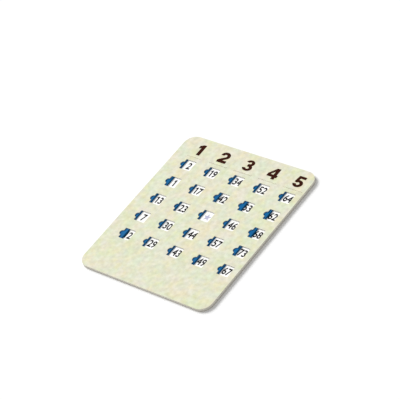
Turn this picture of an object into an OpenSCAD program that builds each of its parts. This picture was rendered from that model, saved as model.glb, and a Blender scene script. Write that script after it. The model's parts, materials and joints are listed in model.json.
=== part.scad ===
// Shutter bingo card: a laminated card with 25 windows, each with a plastic shutter that slides over it.
// The card lies on its back. +X runs along the rows, +Y towards the heading, +Z out of the face.

/* [Windows] */
// Width of a window, without its thumb notch
window_w = 15; // [12:0.5:20]
// Height of a window
window_h = 14.8; // [12:0.1:20]
// Radius of a window's corners
window_corner_r = 0.8; // [0.4:0.1:1]
// Radius of the half-round thumb notch at a window's left edge
notch_r = 3.3; // [2:0.1:5.5]

/* [Shutters] */
// Thickness of a shutter's plate
plate_t = 0.4; // [0.3:0.05:1]
// Radius of a shutter's corners
shutter_corner_r = 1.2; // [0.5:0.1:2]
// How far a closed shutter reaches past its window on each covered side
shutter_lap = 1.2; // [0.8:0.1:2]
// Width of the half-round ridge at a shutter's leading end
ridge_w = 1.6; // [1:0.1:2]
// How far the ridge's top stays below the face
ridge_recess = 0.06; // [0.02:0.01:0.3]
// Gap between a shutter and what guides or stops it, along the card
slide_clear = 0.15; // [0.1:0.05:0.3]
// Gap between a shutter's plate and the ply above it, and the ply below it
lift_clear = 0.12; // [0.08:0.01:0.2]

/* [Plies] */
// Thickness of the paper on the back
back_sheet_t = 0.25; // [0.1:0.05:0.5]
// Thickness of the stiff backing board
backing_board_t = 2; // [0.8:0.1:3]
// Thickness of the paper with the numbers
number_sheet_t = 0.2; // [0.1:0.05:0.4]
// Thickness of the board over the shutters
face_board_t = 0.7; // [0.5:0.1:1.5]
// Thickness of the printed paper on the face
face_sheet_t = 0.2; // [0.1:0.05:0.4]

/* [Layout] */
// Board left between two channels in a row
column_land = 4.9; // [3:0.1:12]
// Board left between two rows of channels
row_land = 10.5; // [6:0.1:16]
// From the first column's channels to the left edge
left_margin = 6.5; // [4:0.1:15]
// From the last column's channels to the right edge
right_margin = 6.4; // [4:0.1:15]
// From the first row's channels to the top edge, which leaves room for the heading
head_margin = 33; // [20:0.1:50]
// From the last row's channels to the bottom edge
foot_margin = 47.3; // [20:0.1:60]
// Radius of the card's corners
card_corner_r = 14; // [6:0.5:20]

/* [Hidden] */
$fn = 96;
column_count = 5;
row_count = 5;
columns = [0 : column_count - 1];
rows = [0 : row_count - 1];

// How far each shutter has been slid from its open stop, as a share of its travel
slid_shares = [
    [0, 0, 0.03, 0, 0],
    [0.16, 0, 0.14, 0.26, 0.16],
    [0.05, 0, 0, 0, 0.2],
    [0, 0, 0, 0, 0.12],
    [0.3, 0, 0, 0.1, 0.05]
];

// Overrun of every cut past the faces that it goes through
cut_over = 1;

// A shutter covers its window, and its ridge stands in the window and stops it at both ends
shutter_l = shutter_lap + window_w - slide_clear;
shutter_h = window_h + 2 * shutter_lap;
ridge_h = window_h - 2 * slide_clear;
travel = window_w - ridge_w - 2 * slide_clear;

// A channel holds its shutter over the whole travel
channel_l = shutter_l + travel + 2 * slide_clear + shutter_lap;
channel_h = shutter_h + 2 * slide_clear;
channel_t = plate_t + 2 * lift_clear;

column_pitch = channel_l + column_land;
row_pitch = channel_h + row_land;
card_w = (column_count - 1) * column_pitch + channel_l + left_margin + right_margin;
card_h = (row_count - 1) * row_pitch + channel_h + head_margin + foot_margin;

// Where the plies lie, from the back to the face
backing_z = back_sheet_t;
number_z = backing_z + backing_board_t;
channel_z = number_z + number_sheet_t;
face_board_z = channel_z + channel_t;
face_sheet_z = face_board_z + face_board_t;
card_t = face_sheet_z + face_sheet_t;
plate_z = channel_z + lift_clear;
ridge_top_z = card_t - ridge_recess;

// The middle of a channel, and the left edge of its window measured from there
function channel_x(c) = left_margin + channel_l / 2 - card_w / 2 + c * column_pitch;
function channel_y(r) = card_h / 2 - head_margin - channel_h / 2 - r * row_pitch;
window_left = channel_l / 2 - shutter_lap - window_w;

// The leading end of a shutter at rest, measured from the middle of its channel
function lead_x(r, c) = window_left + slide_clear + ridge_w + slid_shares[r][c] * travel;

function shutter_name(r, c) = str("shutter_r", r + 1, "_c", c + 1);
SHUTTERS = [for (r = rows, c = columns) shutter_name(r, c)];
PLIES = ["back_sheet", "backing_board", "number_sheet", "channel_board", "face_board", "face_sheet"];

// Flat shapes

module rounded_rect(w, h, r) {
    square([w - 2 * r, h], center = true);
    square([w, h - 2 * r], center = true);
    for (x = [r - w / 2, w / 2 - r], y = [r - h / 2, h / 2 - r])
        translate([x, y]) circle(r);
}

module card_outline() {
    rounded_rect(card_w, card_h, card_corner_r);
}

module window_outline() {
    translate([window_left + window_w / 2, 0])
        rounded_rect(window_w, window_h, window_corner_r);
    translate([window_left, 0]) circle(notch_r);
}

module in_every_channel() {
    for (r = rows, c = columns)
        translate([channel_x(c), channel_y(r)]) children();
}

// Plies

module plain_ply(z, t) {
    translate([0, 0, z]) linear_extrude(t) card_outline();
}

module windowed_ply(z, t) {
    difference() {
        plain_ply(z, t);
        translate([0, 0, z - cut_over])
            linear_extrude(t + 2 * cut_over)
                in_every_channel() window_outline();
    }
}

module back_sheet() {
    color("ivory") plain_ply(0, back_sheet_t);
}

module backing_board() {
    color("darkkhaki") plain_ply(backing_z, backing_board_t);
}

module number_sheet() {
    color("white") plain_ply(number_z, number_sheet_t);
}

module channel_board() {
    color("tan") difference() {
        plain_ply(channel_z, channel_t);
        translate([0, 0, channel_z - cut_over])
            linear_extrude(channel_t + 2 * cut_over)
                in_every_channel() square([channel_l, channel_h], center = true);
    }
}

module face_board() {
    color("burlywood") windowed_ply(face_board_z, face_board_t);
}

module face_sheet() {
    color("beige") windowed_ply(face_sheet_z, face_sheet_t);
}

// Shutters

// The leading end of a shutter is at x = 0, and its plate lies on z = 0
module plate() {
    translate([-shutter_l / 2, 0])
        linear_extrude(plate_t)
            rounded_rect(shutter_l, shutter_h, shutter_corner_r);
}

module ridge() {
    ridge_r = ridge_w / 2;
    crown_z = ridge_top_z - plate_z - ridge_r;
    end_y = ridge_h / 2 - ridge_r;
    translate([-ridge_r, 0]) difference() {
        union() {
            linear_extrude(crown_z) {
                square([ridge_w, 2 * end_y], center = true);
                for (y = [-end_y, end_y]) translate([0, y]) circle(ridge_r);
            }
            translate([0, 0, crown_z]) {
                rotate([90, 0, 0]) cylinder(h = 2 * end_y, r = ridge_r, center = true);
                for (y = [-end_y, end_y]) translate([0, y]) sphere(ridge_r);
            }
        }
        // Nothing of the crown reaches below the plate
        translate([0, 0, -ridge_w])
            linear_extrude(ridge_w)
                square([ridge_w + 2 * cut_over, ridge_h + 2 * cut_over], center = true);
    }
}

module shutter(r, c) {
    color("royalblue") translate([channel_x(c) + lead_x(r, c), channel_y(r), plate_z]) {
        plate();
        ridge();
    }
}

back_sheet();
backing_board();
number_sheet();
channel_board();
face_board();
face_sheet();
for (r = rows, c = columns)
    shutter(r, c);
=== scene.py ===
import json
import math

import bmesh
import bpy
from mathutils import Matrix, Vector


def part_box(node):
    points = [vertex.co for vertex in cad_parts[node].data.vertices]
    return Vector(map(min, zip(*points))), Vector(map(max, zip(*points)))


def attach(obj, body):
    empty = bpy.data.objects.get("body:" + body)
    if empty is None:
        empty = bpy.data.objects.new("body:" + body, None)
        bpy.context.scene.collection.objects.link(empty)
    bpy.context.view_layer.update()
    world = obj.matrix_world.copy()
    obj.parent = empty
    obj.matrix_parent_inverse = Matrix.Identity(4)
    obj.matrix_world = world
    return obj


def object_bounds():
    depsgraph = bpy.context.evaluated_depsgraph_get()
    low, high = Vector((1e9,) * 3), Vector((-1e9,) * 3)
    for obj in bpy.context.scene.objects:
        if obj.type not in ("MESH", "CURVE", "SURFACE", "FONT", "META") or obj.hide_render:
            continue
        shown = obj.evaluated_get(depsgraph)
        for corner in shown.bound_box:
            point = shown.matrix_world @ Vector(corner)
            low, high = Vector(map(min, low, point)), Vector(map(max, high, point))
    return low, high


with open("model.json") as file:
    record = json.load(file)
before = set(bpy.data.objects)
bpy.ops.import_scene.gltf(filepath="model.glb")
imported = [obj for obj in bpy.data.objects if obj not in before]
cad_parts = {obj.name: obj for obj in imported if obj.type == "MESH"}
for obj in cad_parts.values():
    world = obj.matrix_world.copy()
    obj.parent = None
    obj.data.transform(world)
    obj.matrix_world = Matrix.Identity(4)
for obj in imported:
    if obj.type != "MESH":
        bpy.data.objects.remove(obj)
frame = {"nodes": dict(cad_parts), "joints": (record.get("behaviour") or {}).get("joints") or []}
cad_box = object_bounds()

MM = 0.001
GRID = range(1, 6)

# Sizes of the card that its boxes don't give
RIDGE_W = 1.6 * MM
SLIDE_CLEAR = 0.15 * MM
WINDOW_W = 15 * MM
CARD_CORNER_R = 14 * MM
PLATE_DEPTH = 1.02 * MM

# Edges that die-cutting and handling have softened
PLY_ROUND = 0.04 * MM
ROUND_STEPS = 2
ROUND_ANGLE = math.radians(40)
SAME_POINT = 0.001 * MM
SAME_PLANE = math.radians(0.2)

# How far in from the card's edge handling has marked each ply
FACE_SCUFF = 0.8 * MM
BOARD_SCUFF = 0.5 * MM
BACK_SCUFF = 1.6 * MM

# Ink
INK_T = 0.02 * MM
TYPE_SAME_POINT = 0.003 * MM

# Numbers in the cells, with None for the free one
NUMBERS = [
    [2, 19, 34, 52, 64],
    [1, 17, 42, 53, 62],
    [13, 23, None, 46, 68],
    [7, 30, 44, 57, 73],
    [12, 29, 43, 49, 67],
]
NUMBER_H = 9.9 * MM
NUMBER_SHIFT = Vector((1.3, 0.2, 0)) * MM
NUMBER_NARROW = 0.83
NUMBER_STEPS = 4

# Widening of the font's strokes and the width of a figure, in the font's own units
NUMBER_BOLD = 0.026
FONT_ADVANCE = 0.5

# Star in the free cell
STAR_R = 5.2 * MM
STAR_WAIST_SHARE = 0.42
STAR_POINTS = 5

# Heading, and the line of small numbers under it
HEADING_H = 16.2 * MM
HEADING_Y = 88 * MM
HEADING_SHIFT = -0.8 * MM
OVAL_STEP = 8
RANGE_H = 0.95 * MM
RANGE_Y = 75.7 * MM
RANGE_LENGTH = 15
RANGE_STEPS = 2

# The key light comes from low on the left, and the sky fills the shade
KEY_DIRECTION = (-1, 0.15, 0.82)
KEY_ANGLE = math.radians(28)
KEY_STRENGTH = 3
SKY_COLOUR = (1, 1, 1, 1)
SKY_STRENGTH = 0.5
FLOOR_HALF = 4

# View of the photograph
CAMERA_AIM = Vector((-15.6, 24.2, 4)) * MM
CAMERA_DISTANCE = 2.076
CAMERA_AZIMUTH = math.radians(54.55)
CAMERA_ELEVATION = math.radians(41.29)
CAMERA_ROLL = math.radians(-23.88)
CAMERA_LENS = 171
CAMERA_REACH = 20


def srgb(red, green, blue):
    """A colour as a picture holds it, 0 to 255, as the linear colour that a shader takes."""
    linear = []
    for value in (red, green, blue):
        share = value / 255
        linear.append(share / 12.92 if share <= 0.04045 else ((share + 0.055) / 1.055) ** 2.4)
    return (*linear, 1)


def shade(colour, share):
    """A colour made lighter or darker."""
    return (*(share * value for value in colour[:3]), 1)


# Materials

class Look:
    """A material whose nodes are added one call at a time."""

    def __init__(self, name):
        self.material = bpy.data.materials.new(name)
        self.material.use_nodes = True
        self.tree = self.material.node_tree
        self.shader = self.tree.nodes["Principled BSDF"]
        coordinates = self.add("TexCoord")
        self.place = coordinates.outputs["Object"]
        self.normal = coordinates.outputs["Normal"]

    def put(self, socket, value):
        """Links an output to a socket, or sets the socket to a plain value."""
        if isinstance(value, bpy.types.NodeSocket):
            self.tree.links.new(value, socket)
        else:
            socket.default_value = value

    def add(self, kind, inputs=(), **settings):
        node = self.tree.nodes.new("ShaderNode" + kind)
        for name, value in settings.items():
            setattr(node, name, value)
        for name, value in dict(inputs).items():
            self.put(node.inputs[name], value)
        return node

    def surface(self, **values):
        """Sets the shader's sockets, by their names in lower case with underscores."""
        for name, value in values.items():
            socket = name.replace("_", " ").title().replace("Ior", "IOR")
            self.put(self.shader.inputs[socket], value)

    def vector_math(self, operation, *values):
        node = self.add("VectorMath", operation=operation)
        for socket, value in zip(node.inputs, values):
            self.put(socket, value)
        return node.outputs["Value" if operation == "LENGTH" else "Vector"]

    def number_math(self, operation, *values):
        node = self.add("Math", operation=operation)
        for socket, value in zip(node.inputs, values):
            self.put(socket, value)
        return node.outputs["Value"]

    def height(self, vector):
        """The part of a vector that points out of the card's face."""
        return self.add("SeparateXYZ", {"Vector": vector}).outputs["Z"]

    def noise(self, size, detail, stretch=(1, 1, 1), shift=(0, 0, 0)):
        """Noise of one grain size, as a share from 0 to 1."""
        scale = [1 / (size * s) for s in stretch]
        mapping = self.add("Mapping", {"Vector": self.place, "Scale": scale, "Location": shift})
        inputs = {"Vector": mapping.outputs["Vector"], "Scale": 1, "Detail": detail}
        return self.add("TexNoise", inputs).outputs[0]

    def ramp(self, share, stops):
        """Colours that follow a share, from stops of a position and a colour."""
        ramp = self.add("ValToRGB", {"Fac": share})
        elements = ramp.color_ramp.elements
        while len(elements) < len(stops):
            elements.new(0.5)
        for element, (position, colour) in zip(elements, stops):
            element.position = position
            element.color = colour
        return ramp.outputs["Color"]

    def span(self, value, start, end, low=0, high=1):
        """A value that goes from start to end, as one that goes from low to high and no further."""
        inputs = {"Value": value, "From Min": start, "From Max": end, "To Min": low, "To Max": high}
        return self.add("MapRange", inputs).outputs["Result"]

    def mix(self, share, first, second, blend="MIX"):
        """Two colours mixed. The node's sockets share their names, so they are found by number."""
        node = self.add("Mix", data_type="RGBA", blend_type=blend)
        for index, value in ((0, share), (6, first), (7, second)):
            self.put(node.inputs[index], value)
        return node.outputs[2]

    def bump(self, height, distance):
        node = self.add("Bump", {"Height": height, "Distance": distance, "Strength": 1})
        self.put(self.shader.inputs["Normal"], node.outputs["Normal"])

    def cut(self):
        """How far a face is a cut through the ply: 0 on its flat faces, 1 on its sides."""
        return self.span(self.height(self.vector_math("ABSOLUTE", self.normal)), 0.9, 0.3)

    def rim(self, reach):
        """How near a point is to the card's outer edge: 0 from that reach inwards, 1 at the edge."""
        inner = [cad_box[1].x - CARD_CORNER_R, cad_box[1].y - CARD_CORNER_R, 1]
        beyond = self.vector_math("SUBTRACT", self.vector_math("ABSOLUTE", self.place), inner)
        outward = self.vector_math("LENGTH", self.vector_math("MAXIMUM", beyond, [0, 0, 0]))
        return self.span(outward, CARD_CORNER_R - reach, CARD_CORNER_R)

    def worn_rim(self, reach, colour, worn):
        """The colour with broken scuffs along the card's edge, and the worn colour on the cut itself."""
        scuffs = self.span(self.noise(1.4 * MM, 4), 0.42, 0.62)
        share = self.number_math("MULTIPLY", self.rim(reach), scuffs)
        return self.mix(self.cut(), self.mix(share, colour, worn), worn)


def face_print():
    """Pale mottled parchment print: soft clouds of colour, with streaks and fibres over them."""
    look = Look("face_print")
    base = srgb(224, 224, 200)
    clouds = look.ramp(look.noise(15 * MM, 5), [
        (0.36, srgb(215, 227, 193)),
        (0.50, base),
        (0.64, srgb(233, 221, 204)),
    ])
    pools = look.ramp(look.noise(9 * MM, 4, shift=(3, 5, 0)), [
        (0.34, srgb(227, 224, 178)),
        (0.50, base),
        (0.66, srgb(224, 227, 216)),
    ])
    parchment = look.mix(0.5, clouds, pools)
    streaks = look.ramp(look.noise(5 * MM, 4, shift=(7, 1, 0)), [
        (0.3, (0.88, 0.88, 0.87, 1)),
        (0.7, (1.06, 1.06, 1.05, 1)),
    ])
    fibres = look.ramp(look.noise(0.5 * MM, 4, stretch=(2.5, 1, 1)), [
        (0.3, (0.95, 0.95, 0.93, 1)),
        (0.6, (1, 1, 1, 1)),
    ])
    colour = look.mix(1, look.mix(1, parchment, streaks, "MULTIPLY"), fibres, "MULTIPLY")
    look.surface(
        base_color=look.worn_rim(FACE_SCUFF, colour, srgb(218, 214, 200)),
        roughness=look.span(look.noise(6 * MM, 3), 0.3, 0.7, 0.62, 0.76),
        specular_ior_level=0.12,
    )
    look.bump(look.noise(0.35 * MM, 4), 0.006 * MM)
    return look.material


def pulp_board(name, colour, handled):
    """Pulp board: flecked faces, cuts that show the layers of fibre, and a rim that hands have greyed."""
    look = Look(name)
    layers = look.noise(0.07 * MM, 4, stretch=(24, 24, 1))

    def strata(tone):
        return look.ramp(layers, [(0.3, shade(tone, 0.75)), (0.55, tone), (0.75, shade(tone, 1.08))])

    edge = look.mix(look.rim(BOARD_SCUFF), strata(colour), strata(handled))
    flecks = look.ramp(look.noise(0.6 * MM, 4), [(0.34, shade(colour, 0.75)), (0.42, colour)])
    look.surface(
        base_color=look.mix(look.cut(), flecks, edge),
        roughness=0.9,
        specular_ior_level=0.1,
    )
    look.bump(layers, 0.015 * MM)
    return look.material


def white_paper():
    """Smooth white paper with a faint grain along the rows."""
    look = Look("number_paper")
    fibres = look.noise(0.5 * MM, 5, stretch=(3, 1, 1))
    look.surface(
        base_color=look.ramp(fibres, [(0.3, srgb(243, 243, 240)), (0.6, srgb(252, 252, 250))]),
        roughness=look.span(fibres, 0.3, 0.7, 0.5, 0.65),
        specular_ior_level=0.2,
    )
    look.bump(fibres, 0.004 * MM)
    return look.material


def back_paper():
    """Cream paper with fibres that run both ways, and a scuffed rim."""
    look = Look("back_paper")
    colour = srgb(216, 210, 190)
    fleck = srgb(178, 166, 138)
    clouds = look.ramp(look.noise(20 * MM, 4), [(0.35, shade(colour, 0.94)), (0.65, shade(colour, 1.03))])
    along = look.noise(0.22 * MM, 2, stretch=(9, 1, 1))
    across = look.noise(0.22 * MM, 2, stretch=(1, 9, 1), shift=(4, 2, 0))
    fibrous = look.mix(look.span(along, 0.66, 0.74, 0, 0.5), clouds, fleck)
    fibrous = look.mix(look.span(across, 0.67, 0.75, 0, 0.4), fibrous, fleck)
    look.surface(
        base_color=look.worn_rim(BACK_SCUFF, fibrous, srgb(180, 171, 150)),
        roughness=look.span(look.noise(4 * MM, 3), 0.3, 0.7, 0.65, 0.8),
        specular_ior_level=0.2,
    )
    look.bump(look.noise(0.4 * MM, 5), 0.012 * MM)
    return look.material


def shutter_plastic():
    """Tinted plastic with fine scratches, and a ridge darkened partly by deeper tint in thick plastic and
    partly by painted shade, whose crown fingertips have dulled.
    """
    look = Look("shutter_plastic")
    height = look.height(look.place)
    top = cad_box[1].z
    # Painted shade, partly real: everything above the plate's face is mixed towards a darker blue. This is
    # partly the deeper tint of thick plastic and partly painted shade on the ridge.
    thick_ridge_and_painted_shade = look.span(height, top - PLATE_DEPTH, top - 0.6 * PLATE_DEPTH)
    plate = look.ramp(look.noise(4 * MM, 2), [(0.3, srgb(0, 92, 148)), (0.7, srgb(0, 104, 164))])
    tint_and_painted_shade = look.mix(thick_ridge_and_painted_shade, plate, srgb(0, 72, 114))
    scratches = look.span(look.noise(0.1 * MM, 2, stretch=(70, 1, 1)), 0.6, 0.75)
    crown = look.span(height, top - 0.4 * PLATE_DEPTH, top)
    dulled = look.number_math("MULTIPLY", crown, look.span(look.noise(0.5 * MM, 4), 0.35, 0.65))
    worn = look.number_math("MAXIMUM", look.number_math("MULTIPLY", scratches, 0.3), dulled)
    look.surface(
        base_color=look.mix(look.number_math("MULTIPLY", worn, 0.15), tint_and_painted_shade, srgb(60, 128, 182)),
        roughness=look.span(worn, 0, 1, 0.3, 0.5),
        specular_ior_level=0.06,
    )
    look.bump(look.noise(0.15 * MM, 3), 0.002 * MM)
    return look.material


def ink(name, colour, thin):
    """Ink that the paper's grain shows through a little."""
    look = Look(name)
    grain = look.noise(0.3 * MM, 4)
    look.surface(
        base_color=look.ramp(grain, [(0.45, colour), (0.75, thin)]),
        roughness=look.span(grain, 0.3, 0.7, 0.5, 0.7),
        specular_ior_level=0.02,
    )
    look.bump(grain, 0.003 * MM)
    return look.material


# Plies and shutters

def soften(node):
    """Rounds a ply's sharp edges and shades its flat faces flat."""
    weld = node.modifiers.new("weld", "WELD")
    weld.merge_threshold = SAME_POINT
    flatten = node.modifiers.new("flatten", "DECIMATE")
    flatten.decimate_type = "DISSOLVE"
    flatten.angle_limit = SAME_PLANE
    bevel = node.modifiers.new("round", "BEVEL")
    bevel.width = PLY_ROUND
    bevel.segments = ROUND_STEPS
    bevel.limit_method = "ANGLE"
    bevel.angle_limit = ROUND_ANGLE
    bevel.use_clamp_overlap = False
    node.modifiers.new("shading", "WEIGHTED_NORMAL")


def dress_nodes():
    """Gives each ply and shutter its material, and softens the plies."""
    plastic = shutter_plastic()
    board = pulp_board("board", srgb(243, 240, 231), srgb(218, 212, 197))
    ply_looks = {
        "face_sheet": face_print(),
        "face_board": board,
        "channel_board": board,
        "number_sheet": white_paper(),
        "backing_board": pulp_board("backing", srgb(208, 204, 194), srgb(208, 204, 194)),
        "back_sheet": back_paper(),
    }
    for name, node in frame["nodes"].items():
        node.material_slots[0].material = ply_looks.get(name, plastic)
        if name in ply_looks:
            soften(node)


# Outlines of the drawn figures, each a list of an outer loop and any holes

def oval(x, y, rx, ry, start, end):
    """Points along an oval's edge between two angles in degrees, with both ends."""
    steps = max(2, round(abs(end - start) / OVAL_STEP))
    angles = [math.radians(start + (end - start) * i / steps) for i in range(steps + 1)]
    return [(x + rx * math.cos(a), y + ry * math.sin(a)) for a in angles]


def heavy_one():
    return [[(0.2, 0), (0.5, 0), (0.5, 1), (0.27, 1), (0, 0.84), (0, 0.6), (0.2, 0.68)]]


def heavy_two():
    return [
        [(0, 0), (0.8, 0), (0.8, 0.24), (0.42, 0.24)]
        + oval(0.4, 0.66, 0.4, 0.34, -35, 180)
        + oval(0.4, 0.66, 0.125, 0.115, 180, -35)
        + [(0, 0.22)]
    ]


def heavy_three():
    return [
        oval(0.38, 0.725, 0.36, 0.275, 170, -40)
        + oval(0.38, 0.295, 0.4, 0.295, 50, -170)
        + oval(0.38, 0.295, 0.13, 0.1, 190, 450)
        + [(0.27, 0.395), (0.27, 0.64)]
        + oval(0.38, 0.725, 0.1, 0.085, -90, 170)
    ]


def heavy_four():
    stem = [(0.47, 0), (0.75, 0), (0.75, 0.19), (0.86, 0.19), (0.86, 0.41), (0.75, 0.41), (0.75, 1)]
    return [
        stem + [(0.44, 1), (0, 0.44), (0, 0.19), (0.47, 0.19)],
        [(0.47, 0.41), (0.47, 0.7), (0.245, 0.41)],
    ]


def heavy_five():
    return [
        [(0.74, 1), (0.74, 0.78), (0.33, 0.78)]
        + oval(0.38, 0.325, 0.4, 0.325, 100, -170)
        + oval(0.38, 0.325, 0.125, 0.115, 190, 510)
        + [(0.03, 0.43), (0.12, 1)]
    ]


def plain_one():
    """A 1 in the font's own units, with the flag that the font's own one lacks."""
    flag = [(0.275, 0.711), (0.12, 0.6), (0.12, 0.45), (0.23, 0.53)]
    return [[(0.23, -0.026), (0.382, -0.026), (0.382, 0.711)] + flag]


def plain_four():
    """A 4 in the font's own units, because widening the font's strokes closes the hole of its own one."""
    bar = [(0.426, 0.19), (0.486, 0.19), (0.486, 0.33), (0.426, 0.33)]
    slope = [(0.426, 0.717), (0.343, 0.717), (-0.016, 0.276), (-0.016, 0.19), (0.274, 0.19)]
    return [
        [(0.274, -0.026), (0.426, -0.026)] + bar + slope,
        [(0.274, 0.33), (0.274, 0.436), (0.188, 0.33)],
    ]


def star():
    """A star about its middle, whose points reach one unit out."""
    points = []
    for i in range(2 * STAR_POINTS):
        angle = math.pi / 2 + i * math.pi / STAR_POINTS
        reach = 1 if i % 2 == 0 else STAR_WAIST_SHARE
        points.append((reach * math.cos(angle), reach * math.sin(angle)))
    return [points]


DRAWN_DIGITS = {"1": plain_one, "4": plain_four}
HEAVY_NUMERALS = [heavy_one, heavy_two, heavy_three, heavy_four, heavy_five]


# Slabs of ink, one unit thick until they are set on a sheet

def outline_mesh(loops):
    """A closed slab with an outline and any holes."""
    slab = bmesh.new()
    edges = []
    for loop in loops:
        corners = [slab.verts.new((x, y, 0)) for x, y in loop]
        edges += [slab.edges.new((a, b)) for a, b in zip(corners, corners[1:] + corners[:1])]
    filled = bmesh.ops.triangle_fill(slab, use_beauty=True, edges=edges)
    flat = [item for item in filled["geom"] if isinstance(item, bmesh.types.BMFace)]
    raised = bmesh.ops.extrude_face_region(slab, geom=flat, use_keep_orig=True)
    for item in raised["geom"]:
        if isinstance(item, bmesh.types.BMVert):
            item.co.z = 1
    bmesh.ops.recalc_face_normals(slab, faces=slab.faces)
    mesh = bpy.data.meshes.new("outline")
    slab.to_mesh(mesh)
    slab.free()
    return mesh


def type_mesh(text, bold, steps):
    """A line of type as a closed slab."""
    curve = bpy.data.curves.new("type", "FONT")
    curve.body = text
    curve.offset = bold
    curve.extrude = 0.5
    curve.resolution_u = steps
    holder = bpy.data.objects.new("type", curve)
    mesh = bpy.data.meshes.new_from_object(holder)
    mesh.transform(Matrix.Translation((0, 0, curve.extrude)))
    bpy.data.objects.remove(holder)
    bpy.data.curves.remove(curve)
    return mesh


def put_in_order(items, key):
    """Gives points or faces the same order in each run."""
    for index, item in enumerate(sorted(items, key=key)):
        item.index = index
    items.sort()


def joined(name, meshes):
    """One mesh of several, which are used up."""
    whole = bmesh.new()
    for mesh in meshes:
        whole.from_mesh(mesh)
        bpy.data.meshes.remove(mesh)
    bmesh.ops.remove_doubles(whole, verts=whole.verts, dist=TYPE_SAME_POINT)
    bmesh.ops.recalc_face_normals(whole, faces=whole.faces)
    put_in_order(whole.verts, lambda v: v.co.to_tuple())
    put_in_order(whole.faces, lambda f: f.calc_center_median().to_tuple())
    mesh = bpy.data.meshes.new(name)
    whole.to_mesh(mesh)
    whole.free()
    return mesh


def number_mesh(number):
    """A number of the cells as closed slabs, one to a digit."""
    digits = []
    for place, digit in enumerate(str(number)):
        drawn = DRAWN_DIGITS.get(digit)
        mesh = outline_mesh(drawn()) if drawn else type_mesh(digit, NUMBER_BOLD, NUMBER_STEPS)
        mesh.transform(Matrix.Translation((place * FONT_ADVANCE, 0, 0)))
        digits.append(mesh)
    return joined("number", digits)


def corner_span(mesh):
    """The lowest and highest corner of a mesh."""
    corners = [v.co for v in mesh.vertices]
    return [Vector(pick(c[axis] for c in corners) for axis in range(3)) for pick in (min, max)]


def figure_span(bold):
    """How low and how high the font's figures reach."""
    zero = type_mesh("0", bold, NUMBER_STEPS)
    low, high = corner_span(zero)
    bpy.data.meshes.remove(zero)
    return low.y, high.y


def set_mesh(mesh, scale_x, scale_y, middle, heights=None):
    """Puts a slab's middle on a point, with its underside on the sheet and the ink's thickness."""
    low, high = corner_span(mesh)
    low_y, high_y = heights or (low.y, high.y)
    centre = Matrix.Translation((-(low.x + high.x) / 2, -(low_y + high_y) / 2, -low.z))
    mesh.transform(Matrix.Translation(middle) @ Matrix.Diagonal((scale_x, scale_y, INK_T, 1)) @ centre)
    return mesh


def set_type(mesh, height, narrow, heights, middle):
    """Puts type on a sheet, so that its figures have the height asked for."""
    low_y, high_y = heights
    scale = height / (high_y - low_y)
    return set_mesh(mesh, scale * narrow, scale, middle, heights)


def print_layer(name, meshes, look):
    """One layer of ink on the card."""
    mesh = joined(name, meshes)
    piece = bpy.data.objects.new(name, mesh)
    mesh.materials.append(look)
    bpy.context.scene.collection.objects.link(piece)
    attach(piece, "card")


# Print on the number sheet and on the face

open_stops = {joint["child"]: joint["range_m"][0] for joint in frame["joints"]}


def window_middle(row, column):
    """The middle of a window, without its notch."""
    name = f"shutter_r{row}_c{column}"
    low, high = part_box(name)
    left = high.x + open_stops[name] - RIDGE_W - SLIDE_CLEAR
    return Vector((left + WINDOW_W / 2, (low.y + high.y) / 2, 0))


def print_cells():
    """The number behind each window, and a star behind the free one."""
    number_ink = ink("number_ink", srgb(18, 16, 20), srgb(46, 42, 48))
    star_ink = ink("star_ink", srgb(182, 182, 208), srgb(204, 204, 222))
    sheet_top = Vector((0, 0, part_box("number_sheet")[1].z))
    heights = figure_span(NUMBER_BOLD)
    cells = []
    for row in GRID:
        for column in GRID:
            number = NUMBERS[row - 1][column - 1]
            middle = window_middle(row, column) + NUMBER_SHIFT + sheet_top
            if number is None:
                shape = set_mesh(outline_mesh(star()), STAR_R, STAR_R, middle)
                print_layer("free_star", [shape], star_ink)
            else:
                cells.append(set_type(number_mesh(number), NUMBER_H, NUMBER_NARROW, heights, middle))
    print_layer("cell_numbers", cells, number_ink)


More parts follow.
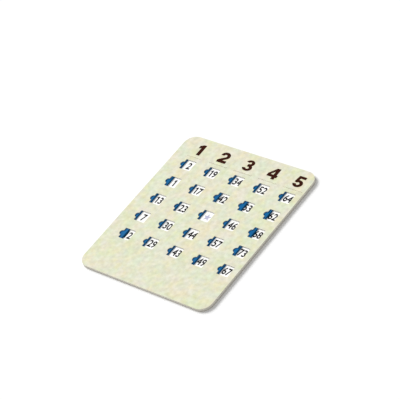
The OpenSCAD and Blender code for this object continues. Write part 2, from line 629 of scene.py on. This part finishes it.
def print_headings():
    """A numeral over each column, and the line of the numbers that the column can hold."""
    heading_ink = ink("heading_ink", srgb(48, 14, 5), srgb(78, 36, 22))
    small_ink = ink("small_ink", srgb(128, 104, 66), srgb(150, 128, 92))
    face_z = cad_box[1].z
    heights = figure_span(0)
    headings = []
    ranges = []
    for column in GRID:
        x = window_middle(1, column).x + HEADING_SHIFT
        numeral = outline_mesh(HEAVY_NUMERALS[column - 1]())
        headings.append(set_mesh(numeral, HEADING_H, HEADING_H, Vector((x, HEADING_Y, face_z))))
        first = RANGE_LENGTH * (column - 1) + 1
        numbers = " ".join(str(n) for n in range(first, first + RANGE_LENGTH))
        line = type_mesh(numbers, 0, RANGE_STEPS)
        ranges.append(set_type(line, RANGE_H, 1, heights, Vector((x, RANGE_Y, face_z))))
    print_layer("heading_numbers", headings, heading_ink)
    print_layer("range_numbers", ranges, small_ink)


# Floor, light and camera

def plain_floor():
    look = Look("floor")
    grain = look.noise(30 * MM, 2)
    tones = [(0, srgb(246, 246, 246)), (1, srgb(248, 248, 248))]
    look.surface(base_color=look.ramp(grain, tones), roughness=0.9)
    sides = [(-1, -1), (1, -1), (1, 1), (-1, 1)]
    corners = [(FLOOR_HALF * x, FLOOR_HALF * y, 0) for x, y in sides]
    mesh = bpy.data.meshes.new("floor")
    mesh.from_pydata(corners, [], [range(len(corners))])
    mesh.materials.append(look.material)
    floor = bpy.data.objects.new("floor", mesh)
    bpy.context.scene.collection.objects.link(floor)


def key_light():
    light = bpy.data.lights.new("key", "SUN")
    light.energy = KEY_STRENGTH
    light.angle = KEY_ANGLE
    holder = bpy.data.objects.new("key", light)
    holder.rotation_euler = Vector(KEY_DIRECTION).to_track_quat("Z", "Y").to_euler()
    bpy.context.scene.collection.objects.link(holder)


def sky():
    world = bpy.data.worlds.new("sky")
    world.use_nodes = True
    background = world.node_tree.nodes["Background"]
    background.inputs["Color"].default_value = SKY_COLOUR
    background.inputs["Strength"].default_value = SKY_STRENGTH
    bpy.context.scene.world = world


def photo_camera():
    camera = bpy.data.cameras.new("camera")
    camera.lens = CAMERA_LENS
    camera.clip_end = CAMERA_REACH
    holder = bpy.data.objects.new("camera", camera)
    turn = (
        Matrix.Rotation(CAMERA_AZIMUTH, 4, "Z")
        @ Matrix.Rotation(math.pi / 2 - CAMERA_ELEVATION, 4, "X")
        @ Matrix.Rotation(CAMERA_ROLL, 4, "Z")
    )
    back = turn.col[2].to_3d()
    holder.matrix_world = Matrix.Translation(CAMERA_AIM + CAMERA_DISTANCE * back) @ turn
    bpy.context.scene.collection.objects.link(holder)
    bpy.context.scene.camera = holder


dress_nodes()
print_cells()
print_headings()
plain_floor()
sky()
key_light()
photo_camera()
bpy.context.scene.view_settings.view_transform = "Standard"
